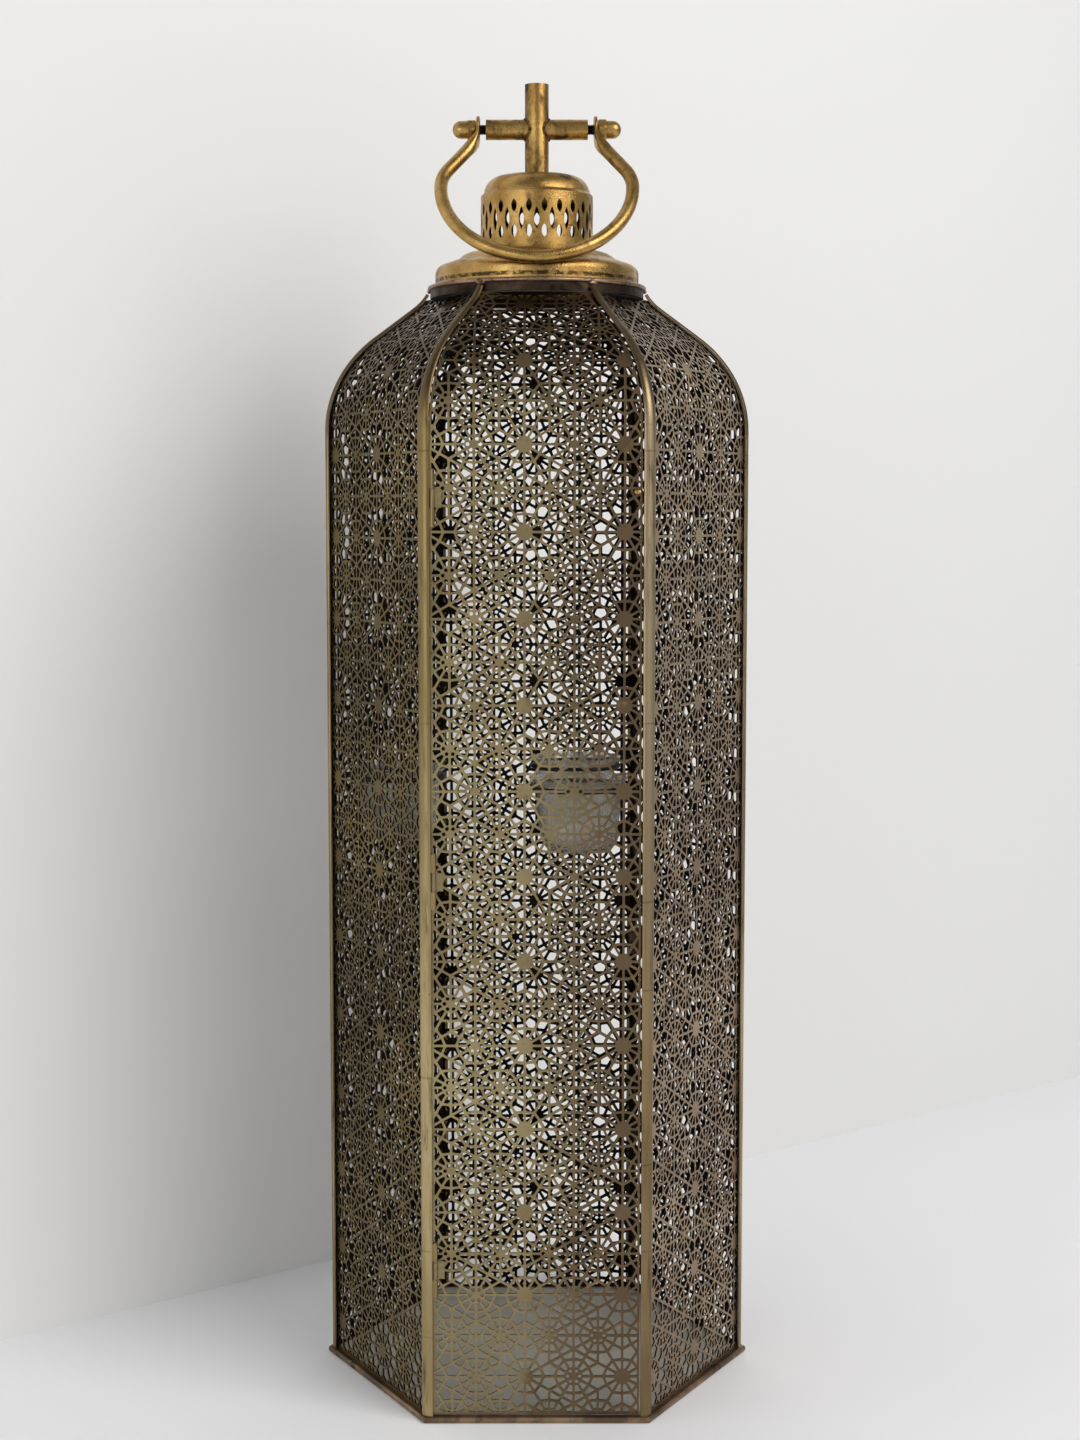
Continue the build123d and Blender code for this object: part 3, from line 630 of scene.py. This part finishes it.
verts, faces, fronts = pierced_sheet(*DOOR_SUN, DOOR_HINGE_GAP, DOOR_FREE_GAP, DOOR_BOTTOM_Z, DOOR_TOP_Z,
                                     STRUT)
add_mesh("pierced_door", turn_z(verts, radians(-90)), faces, DOOR_BRONZE, "door",
         ["door_panel"], inner=PANEL_INSIDE_SHADE, outer_faces=fronts)


# ---- Corner ribs: half-round strips ----

RIB_ANGLES = {"front_right": -60, "right": 0, "back_right": 60, "back_left": 120, "left": 180,
              "front_left": 240}
RIB_WIDTH = 8.0
RIB_TOP_WIDTH = 4.8
RIB_THICK = 2.0
RIB_EDGE = 0.35
RIB_LIFT = 0.05               # keeps the ribs clear of the panels' corners
RIB_WAVER = 0.02
RIB_BOTTOM_Z = 4.0
RIB_TOP_Z = 695.6


def rib_mesh(seed):
    v_top = flare_v(RIB_TOP_Z)
    straight, curved = np.arange(RIB_BOTTOM_Z, SHOULDER_V, 12.0), np.arange(SHOULDER_V, v_top, 3.0)
    stations = list(straight) + list(curved) + [v_top]
    p, z, lean = profile(stations)
    verts = []
    across = [-1, -1] + [sin(radians(a)) for a in range(-75, 76, 15)] + [1, 1]
    for k, v in enumerate(stations):
        out_r, out_z = cos(lean[k]), sin(lean[k]) / cos(radians(30))
        length = sqrt(out_r ** 2 + out_z ** 2)
        out_r, out_z = out_r / length, out_z / length
        share = min(max((z[k] - SHOULDER_V) / (RIB_TOP_Z - SHOULDER_V), 0), 1)
        half = (RIB_WIDTH + (RIB_TOP_WIDTH - RIB_WIDTH) * share) / 2
        half *= 1 - RIB_WAVER * (1 + noise.noise((seed, v * 0.03, 0)))
        for m, a in enumerate(across):
            flat = m in (0, len(across) - 1)
            crown = RIB_EDGE + (RIB_THICK - RIB_EDGE) * sqrt(max(0, 1 - a * a)) ** 1.3
            rise = RIB_LIFT + (0 if flat else crown)
            verts.append((p[k] / cos(radians(30)) + out_r * rise, a * half, z[k] + out_z * rise))
    return verts, rings_to_faces(len(stations), len(across))


for seed, (side, angle) in enumerate(RIB_ANGLES.items()):
    verts, faces = rib_mesh(seed)
    # the two front ribs take their copies with painted light and shade
    brass = {"front_left": RIB_LEFT_LIGHT_AND_SHADE, "front_right": RIB_RIGHT_LIGHT_AND_SHADE}.get(side, RIB_BRASS)
    add_mesh(f"half_round_rib_{side}", turn_z(verts, radians(angle)), faces, brass,
             replaces=[f"rib_{side}"])


# ---- Handle: a round bar bent to a loop, each end hammered flat around the rod ----

HANG = (0, -sin(REST_TILT), -cos(REST_TILT))    # the way the resting handle hangs
FACE = (0, cos(REST_TILT), -sin(REST_TILT))     # square to the plane of its loop


def handle_side():
    """Stations down the right side: x, drop below the pivot, half sizes in and across the loop's plane."""
    stations = []
    for turn in range(12, 90, 6):
        drop, wide = -EYE_R * cos(radians(turn)), EYE_R * sin(radians(turn))
        stations.append((EYE_MIDDLE_X, drop, EYE_HALF_THICK, wide))
    centre_drop = LOOP_LENGTH - LOOP_R
    arc_x = LOOP_R - UPPER_ARC_R
    straight_x = arc_x + UPPER_ARC_R * cos(ARM_LEAN)
    straight_drop = centre_drop - UPPER_ARC_R * sin(ARM_LEAN)
    bend_drop = straight_drop - (straight_x - EYE_MIDDLE_X) / tan(ARM_LEAN)
    for drop in list(np.arange(0, EYE_END, 1.0)) + list(np.linspace(EYE_END, straight_drop, 6)):
        run = (drop - bend_drop) * tan(ARM_LEAN)
        x = EYE_MIDDLE_X + (run + sqrt(run * run + ELBOW)) / 2
        share = min(max((drop - NECK_START) / NECK_LENGTH, 0), 1)
        thick = EYE_HALF_THICK + (BAR_R - EYE_HALF_THICK) * share * share * (3 - 2 * share)
        round_wide = sqrt(max(EYE_R ** 2 - drop ** 2, 0))
        taper = min(max((drop - EYE_START) / (EYE_END - EYE_START), 0), 1)
        neck_wide = EYE_R * NECK_SHARE + (BAR_R - EYE_R * NECK_SHARE) * taper ** NECK_CURVE
        wide = max(round_wide if drop < EYE_ROUND else 0, neck_wide)
        stations.append((x, drop, thick, wide))
    for turn in np.linspace(degrees(ARM_LEAN), 0, 9)[1:]:
        across, up = polar(UPPER_ARC_R, turn)
        stations.append((arc_x + across, centre_drop - up, BAR_R, BAR_R))
    for turn in np.linspace(0, 90, 22)[1:]:
        across, down = polar(LOOP_R, turn)
        stations.append((across, centre_drop + down, BAR_R, BAR_R))
    return stations


def handle_mesh(around=28):
    side = handle_side()
    stations = side + [(-x, drop, thick, wide) for x, drop, thick, wide in reversed(side[:-1])]
    verts = []
    for k, (x, drop, thick, wide) in enumerate(stations):
        before, after = stations[max(k - 1, 0)], stations[min(k + 1, len(stations) - 1)]
        dx, dd = after[0] - before[0], after[1] - before[1]
        length = sqrt(dx * dx + dd * dd)
        square = 2 / (2 + 3 * (BAR_R - thick) / BAR_R)
        for m in range(around):
            a = 2 * pi * m / around
            lumps = 1 + noise.noise((x * 0.05, drop * 0.05, cos(a) * 0.7))
            lump = 1 - HAMMERED * lumps * (thick > 0.9 * BAR_R)
            out = thick * lump * abs(cos(a)) ** square * (1 if cos(a) > 0 else -1)
            face = wide * lump * abs(sin(a)) ** square * (1 if sin(a) > 0 else -1)
            px, pd = x - out * dd / length, drop + out * dx / length
            verts.append((px, HANG[1] * pd + FACE[1] * face, PIVOT_Z + HANG[2] * pd + FACE[2] * face))
    return verts, rings_to_faces(len(stations), around)


def tube_mesh(rings, around, shaped=None):
    """Surface turned about the pivot axis from (x, radius) pairs; shaped gives the radius at each angle."""
    verts = []
    for x, radius in rings:
        for m in range(around):
            a = 2 * pi * m / around
            r = shaped(a, radius) if shaped else radius
            verts.append((x, r * sin(a), PIVOT_Z + r * cos(a)))
    return verts, rings_to_faces(len(rings), around)


def bore(obj, radius, reach):
    """Cuts a round hole along the pivot axis through the piece."""
    verts, faces = tube_mesh([(-reach, radius), (reach, radius)], 40)
    cutter = new_object("bore", new_mesh("bore", verts, faces))
    cut = obj.modifiers.new("bore", "BOOLEAN")
    cut.operation = "DIFFERENCE"
    cut.solver = "EXACT"
    cut.object = cutter
    bpy.context.view_layer.update()
    made = bpy.data.meshes.new_from_object(obj.evaluated_get(bpy.context.evaluated_depsgraph_get()))
    obj.modifiers.clear()
    uncut, obj.data = obj.data, made
    name = uncut.name
    bpy.data.meshes.remove(uncut)
    made.name = name
    bpy.data.meshes.remove(cutter.data)


verts, faces = handle_mesh()
handle = add_mesh("forged_handle", verts, faces, HANDLE_GOLD, "handle", ["handle"], 50)
bore(handle, EYE_BORE_R, LOOP_R)


# ---- Domed nuts, threaded rod and the welds of the cross arms ----

def hexagonal(a, radius):
    turn = (a + pi / 6) % (pi / 3) - pi / 6
    return min(NUT_HALF_FLATS / cos(turn), radius)


def nut_mesh(side, twist, drilled):
    corner = NUT_HALF_FLATS / cos(pi / 6)
    hexagon = [(0, corner - NUT_BEVEL), (NUT_BEVEL, corner),
               (NUT_HEX_LENGTH - NUT_BEVEL, corner), (NUT_HEX_LENGTH, corner - NUT_BEVEL)]
    straight = NUT_LENGTH - NUT_DOME_R
    dome = [(NUT_HEX_LENGTH + 0.02, NUT_DOME_R), (straight, NUT_DOME_R)]
    for turn in range(10, 84, 8):
        dome.append((straight + NUT_DOME_R * sin(radians(turn)), NUT_DOME_R * cos(radians(turn))))
    if drilled:
        dome += [(NUT_LENGTH - 0.25, DRILLED_R), (NUT_LENGTH - DRILLED_DEPTH, DRILLED_R - 0.2)]
    else:
        dome.append((NUT_LENGTH - 0.02, 0.25))
    rings = [(side * (NUT_X0 + x), radius) for x, radius in hexagon + dome]
    return tube_mesh(rings, 60, lambda a, radius: hexagonal(a + twist, radius))


for name, side, twist, drilled, gold in (("left", -1, radians(12), True, POST_GOLD),
                                         ("right", 1, radians(-8), False, OLD_GOLD)):
    verts, faces = nut_mesh(side, twist, drilled)
    add_mesh(f"domed_hex_nut_{name}", verts, faces, gold, replaces=[f"domed_nut_{name}"])

thread = [(-ROD_END_X, ROD_R)]
for side in (-1, 1):
    crests = [side * ARM_END_X + side * THREAD_PITCH * (0.2 + k) for k in range(THREAD_TURNS)]
    for x in crests if side > 0 else reversed(crests):
        valley, flat_end = x - THREAD_PITCH * 0.4, x + THREAD_PITCH * 0.1
        thread += [(valley, ROD_R - THREAD_DEPTH), (x, ROD_R), (flat_end, ROD_R)]
thread.append((ROD_END_X, ROD_R))
verts, faces = tube_mesh(thread, 32)
add_mesh("threaded_rod", verts, faces, DARK_STEEL, replaces=["pivot_rod"])


BEAD_R = 1.0
BEAD_LUMPS = 0.3


def weld_bead(side):
    """Lumpy bead around a cross arm where it meets the post."""
    verts, steps, around = [], 60, 10
    for k in range(steps):
        a = 2 * pi * k / steps
        y, z = ARM_R * sin(a), ARM_R * cos(a)
        x = sqrt(POST_R ** 2 - y * y)
        size = BEAD_R * (1.0 + BEAD_LUMPS * noise.noise((cos(a) * 2.2, sin(a) * 2.2, side * 5.0)))
        for m in range(around):
            b = 2 * pi * m / around
            out = size * cos(b)
            verts.append((side * (x + size * sin(b)), y + out * sin(a), PIVOT_Z + z + out * cos(a)))
    faces = rings_to_faces(steps, around, False)
    last = (steps - 1) * around
    for m in range(around):
        n = (m + 1) % around
        faces.append((last + m, last + n, n, m))
    return verts, faces


for name, side in (("left", -1), ("right", 1)):
    verts, faces = weld_bead(side)
    add_mesh(f"weld_bead_{name}", verts, faces, WELD_DARK)


# ---- Solder lumps where the ribs meet the wire around the neck ----

def lump_mesh(seed, half_x, half_y, half_z, rows=9, around=14):
    verts = []
    for k in range(rows):
        lat = pi * (k + 0.5) / rows - pi / 2
        for m in range(around):
            lon = 2 * pi * m / around
            where = (cos(lat) * cos(lon), cos(lat) * sin(lon), sin(lat))
            size = 1 + 0.25 * noise.noise((where[0] * 1.5 + seed * 7, where[1] * 1.5, where[2] * 1.5))
            verts.append((where[0] * half_x * size, where[1] * half_y * size, where[2] * half_z * size))
    return verts, rings_to_faces(rows, around)


LUMP_HALF_SIZES = (1.3, 3.0, 1.3)
LUMP_R, LUMP_Z = 68.8, 698.0
for seed, (side, angle) in enumerate(RIB_ANGLES.items()):
    verts, faces = lump_mesh(seed, *LUMP_HALF_SIZES)
    verts = [(x + LUMP_R, y, z + LUMP_Z) for x, y, z in verts]
    add_mesh(f"solder_lump_{side}", turn_z(verts, radians(angle)), faces, SOLDER_BROWN,
             sharp=80)


# ---- CAD nodes that keep their shape get their finish ----

FINISHES = {
    OLD_GOLD: ["chimney_lid", "door_knob"],
    CAP_GOLD: ["cap"],
    CHIMNEY_GOLD: ["chimney"],
    POST_GOLD: ["post", "cross_arm_left", "cross_arm_right"],
    DARK_BRONZE: ["base_rim"],
    SOLDER_BROWN: ["neck_wire"],
    COLLAR_BLACK: ["neck_collar", "door_stop"],
    RIB_BRASS: ["frame_hinge_knuckles", "hinge_pins"],
    DOOR_BRONZE: ["door_hinge_leaves"],
    FLOOR_GREY: ["base_plate"],
    DARK_STEEL: [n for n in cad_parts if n.startswith(("cup_ring", "ring_arm"))],
    CLEAR_GLASS: [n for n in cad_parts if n.startswith("glass_cup")],
}
for material, names in FINISHES.items():
    for name in names:
        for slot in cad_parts[name].material_slots:
            slot.material = material


# ---- Room, light and camera ----

FLOOR_HALF = 6.0              # stage sizes are metres
WALL_HALF, WALL_HEIGHT = 5.0, 3.0
WALL_TURN = radians(38.5)
WALL_GAP = 0.24               # from the lantern's axis to the wall


def stage_plane(name, corners, material):
    mesh = bpy.data.meshes.new(name)
    mesh.from_pydata(corners, [], [(0, 1, 2, 3)])
    mesh.materials.append(material)
    new_object(name, mesh)


def stage_material(name, colour, one_sided):
    material, tree = new_tree(name)
    shader = node(tree, "BsdfPrincipled", Base_Color=colour, Roughness=0.7).outputs["BSDF"]
    if one_sided:
        behind = node(tree, "NewGeometry").outputs["Backfacing"]
        clear = node(tree, "BsdfTransparent").outputs["BSDF"]
        both = node(tree, "MixShader", Fac=behind)
        tree.links.new(shader, both.inputs[1])
        tree.links.new(clear, both.inputs[2])
        shader = both.outputs["Shader"]
    node(tree, "OutputMaterial", Surface=shader)
    return material


stage_plane("floor", [(FLOOR_HALF * x, FLOOR_HALF * y, 0) for x, y in ((-1, -1), (1, -1), (1, 1), (-1, 1))],
            stage_material("floor_white", rgb(0.98, 0.98, 1.0), False))
along = Vector((cos(WALL_TURN), sin(WALL_TURN), 0))
foot = Vector((-sin(WALL_TURN), cos(WALL_TURN), 0)) * WALL_GAP
wall_ends = (foot - along * WALL_HALF, foot + along * WALL_HALF)
wall_top = Vector((0, 0, WALL_HEIGHT))
stage_plane("wall", [wall_ends[0], wall_ends[1], wall_ends[1] + wall_top, wall_ends[0] + wall_top],
            stage_material("wall_white", rgb(0.84, 0.84, 0.83), True))

world = bpy.data.worlds.new("studio")
world.use_nodes = True
background = world.node_tree.nodes["Background"]
background.inputs["Color"].default_value = rgb(0.92, 0.95, 1.0)
background.inputs["Strength"].default_value = 0.30
bpy.context.scene.world = world


LIGHT_TARGET = (0, 0, 0.4)


def soft_light(name, where, size, power, colour):
    data = bpy.data.lights.new(name, "AREA")
    data.shape = "RECTANGLE"
    data.size, data.size_y = size
    data.energy = power
    data.color = colour
    obj = new_object(name, data)
    obj.location = where
    obj.rotation_mode = "QUATERNION"
    obj.rotation_quaternion = (Vector(LIGHT_TARGET) - Vector(where)).to_track_quat("-Z", "Y")


soft_light("window", where=(1.7, -1.5, 1.9), size=(1.8, 1.6), power=46, colour=(1.0, 0.98, 0.95))
soft_light("fill", where=(-1.6, -2.7, 0.9), size=(2.0, 1.6), power=18, colour=(1.0, 0.99, 0.97))

CAMERA_AT = (0.002, -1.458, 0.559)
CAMERA_DIP = 5.32             # degrees below level
camera_data = bpy.data.cameras.new("camera")
camera_data.lens = 56.3
camera_data.sensor_width = 36.0
camera = new_object("camera", camera_data)
camera.location = CAMERA_AT
camera.rotation_euler = (radians(90 - CAMERA_DIP), 0, 0)
bpy.context.scene.camera = camera
bpy.context.scene.view_settings.view_transform = "Standard"
